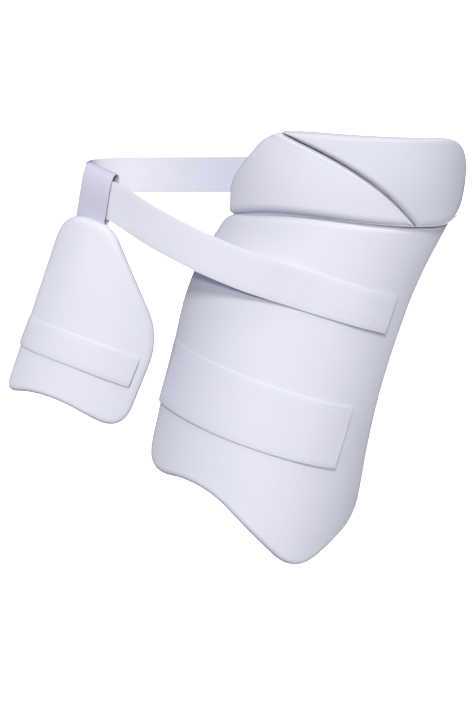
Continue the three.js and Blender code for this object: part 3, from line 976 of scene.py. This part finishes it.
def add_floor():
    """A pale floor whose rim curves up far behind the part on every side."""
    turns = np.arange(FLOOR_SIDES) * 2 * math.pi / FLOOR_SIDES
    points = [(r * math.cos(t), r * math.sin(t), FLOOR_DROP + rise) for r, rise in FLOOR_RINGS for t in turns]
    at = np.arange(len(points)).reshape(-1, FLOOR_SIDES)
    nxt = np.roll(at, -1, axis=1)
    faces = np.stack([at[:-1], nxt[:-1], nxt[1:], at[1:]], axis=-1).reshape(-1, 4).tolist()
    mesh = bpy.data.meshes.new("floor")
    mesh.from_pydata(points, [], [at[0].tolist(), *faces])
    material, _, shader = new_material("floor")
    shader.inputs["Base Color"].default_value = (0.95, 0.95, 0.95, 1)
    shader.inputs["Roughness"].default_value = 0.9
    shader.inputs["Emission Color"].default_value = (1, 1, 1, 1)
    shader.inputs["Emission Strength"].default_value = FLOOR_GLOW
    mesh.materials.append(material)
    floor = bpy.data.objects.new("floor", mesh)
    bpy.context.scene.collection.objects.link(floor)
    floor.visible_diffuse = False
    floor.visible_shadow = False


def add_light():
    scene = bpy.context.scene
    scene.view_settings.view_transform = "Standard"
    world = bpy.data.worlds.new("studio")
    world.use_nodes = True
    tree = world.node_tree
    place = add_node(tree, "ShaderNodeTexCoord").outputs["Generated"]
    height = add_node(tree, "ShaderNodeSeparateXYZ", {0: place}).outputs["Z"]
    share = add_node(tree, "ShaderNodeMapRange", {"Value": height, "From Min": -1}).outputs["Result"]
    sky = add_node(tree, "ShaderNodeMix", {"Factor": share}, data_type="RGBA")
    for key, colour in (("A", SKY_BELOW), ("B", SKY_ABOVE)):
        socket = next(s for s in sky.inputs if s.name == key and s.type == "RGBA")
        socket.default_value = (*colour, 1)
    result = next(s for s in sky.outputs if s.type == "RGBA")
    tree.links.new(result, tree.nodes["Background"].inputs["Color"])
    scene.world = world
    for name, strength, elevation, side, angle in SUNS:
        data = bpy.data.lights.new(name, "SUN")
        data.energy = strength
        data.angle = math.radians(angle)
        sun = bpy.data.objects.new(name, data)
        sun.rotation_euler = (math.radians(90 - elevation), 0, math.radians(side))
        scene.collection.objects.link(sun)


# The whole


def add_pads(cover):
    """The four pads and the strips that join three of them."""
    outer = pad_piece("outer_pad_cover", "outer_pad", OUTER_PAD, OUTER_PAD_PATTERN, OUTER_PAD_MIDDLE,
                      RIM_POINTS, cover)
    inner = pad_piece("inner_pad_cover", "inner_pad", INNER_PAD, INNER_PAD_PATTERN, INNER_PAD_MIDDLE,
                      RIM_POINTS, cover)
    pad_piece("hip_front_cover", "hip_front_panel", HIP_GUARD, HIP_FRONT_PATTERN, HIP_FRONT_MIDDLE,
              PANEL_RIM_POINTS, cover)
    rear = pad_piece("hip_rear_cover", "hip_rear_panel", HIP_GUARD, HIP_REAR_PATTERN, HIP_REAR_MIDDLE,
                     PANEL_RIM_POINTS, cover, HIP_REAR_PAINTED_SHADE)
    add_strips(cover)
    return outer, inner, rear


def add_leg_strap(part, pad, spec, pad_cover, elastic, thread):
    strap = leg_strap(pad, spec)
    lay_leg_strap(strap, pad, spec, tree_of(pad_cover))
    loop = strap_piece(part + "_leg_elastic", part + "_leg_strap", strap, elastic)
    # The strap takes up the painted shade of the pad under it.
    set_values(loop, "painted_shade", pad_painted_shade(loop, pad_cover))
    inset, reach = TAB_STITCHES["inset"], TAB_STITCHES["length"]
    half, end = spec["width"] / 2 - inset, strap["length"]
    rows = [([(reach, -half), (inset, -half), (inset, half), (reach, half)], False)]
    box_half = spec["width"] / 2 - LEG_BOX["inset"]
    rows += box_rows(end - LEG_BOX["start"], end - LEG_BOX["end"], box_half, inside=True, crossed=True)
    stitches_piece(part + "_leg_stitches", strap, rows, thread)


def add_waist_strap(outer_cover, rear_cover, elastic, thread):
    strap = waist_strap()
    on_pad, sewn, end = WAIST_STRAP_ON_PAD, WAIST_STRAP_SEWN, strap["length"]
    tab_weight = smoothstep((on_pad["length"] - strap["at"]) / on_pad["fade"] + 1)
    sewn_weight = smoothstep((strap["at"] - end + sewn["length"]) / sewn["fade"])
    settle(strap, tab_weight, OUTER_PAD, tree_of(outer_cover))
    settle(strap, sewn_weight, HIP_GUARD, tree_of(rear_cover), inside=True)
    loop = strap_piece("waist_elastic", "waist_strap", strap, elastic)
    # Painted shade taken up from the outer pad, and the painted shadow of the hip guard on its back run.
    set_values(loop, "painted_shade", np.maximum(pad_painted_shade(loop, outer_cover), back_painted_shadow(loop)))
    rows = [(WAIST_ROW, False)]
    rows += [([(WAIST_TACK["start"], across), (WAIST_TACK["end"], across)], False)
             for across in WAIST_TACK["across"]]
    box = WAIST_BOX
    rows += box_rows(end - box["start"], end - box["end"], box["half"], inside=True, crossed=True)
    stitches_piece("waist_stitches", strap, rows, thread)


def add_hanger(inner_cover, elastic, thread):
    strap = hanger()
    tree, sewn, end = tree_of(inner_cover), HANGER_SEWN, strap["length"]
    front_weight = smoothstep((sewn["length"] - strap["at"]) / sewn["fade"])
    back_weight = smoothstep((strap["at"] - end + sewn["back_length"]) / sewn["fade"])
    settle(strap, front_weight, INNER_PAD, tree, inside=True)
    settle(strap, back_weight, INNER_PAD, tree, inside=True, extra=STRAP_THICKNESS + REST_GAP)
    loop = strap_piece("hanger_elastic", "inner_pad_hanger", strap, elastic)
    # Painted shade on the hanger's lower part, which goes down behind the pad's top edge.
    painted_shade = np.repeat(1 - smoothstep(strap["rise"] / HANGER_PAINTED_SHADE_RISE), len(strap["across"]))
    set_values(loop, "painted_shade", np.concatenate([[1], painted_shade, [1]]))
    box = HANGER_BOX
    rows = box_rows(end - box["start"], end - box["end"], box["half"], inside=True, crossed=True)
    stitches_piece("hanger_stitches", strap, rows, thread)


def build():
    add_camera()
    add_floor()
    add_light()
    cover = cloth_material("pad_cover", **COVER)
    elastic = cloth_material("elastic", **ELASTIC)
    # The hanger's material is the elastic, darkened with painted shade.
    hanger_elastic = cloth_material("hanger_elastic", **SHADED_HANGER_ELASTIC)
    thread = thread_material()
    outer_cover, inner_cover, rear_cover = add_pads(cover)
    add_leg_strap("outer", OUTER_PAD, OUTER_STRAP, outer_cover, elastic, thread)
    add_leg_strap("inner", INNER_PAD, INNER_STRAP, inner_cover, elastic, thread)
    add_waist_strap(outer_cover, rear_cover, elastic, thread)
    add_hanger(inner_cover, hanger_elastic, thread)


build()
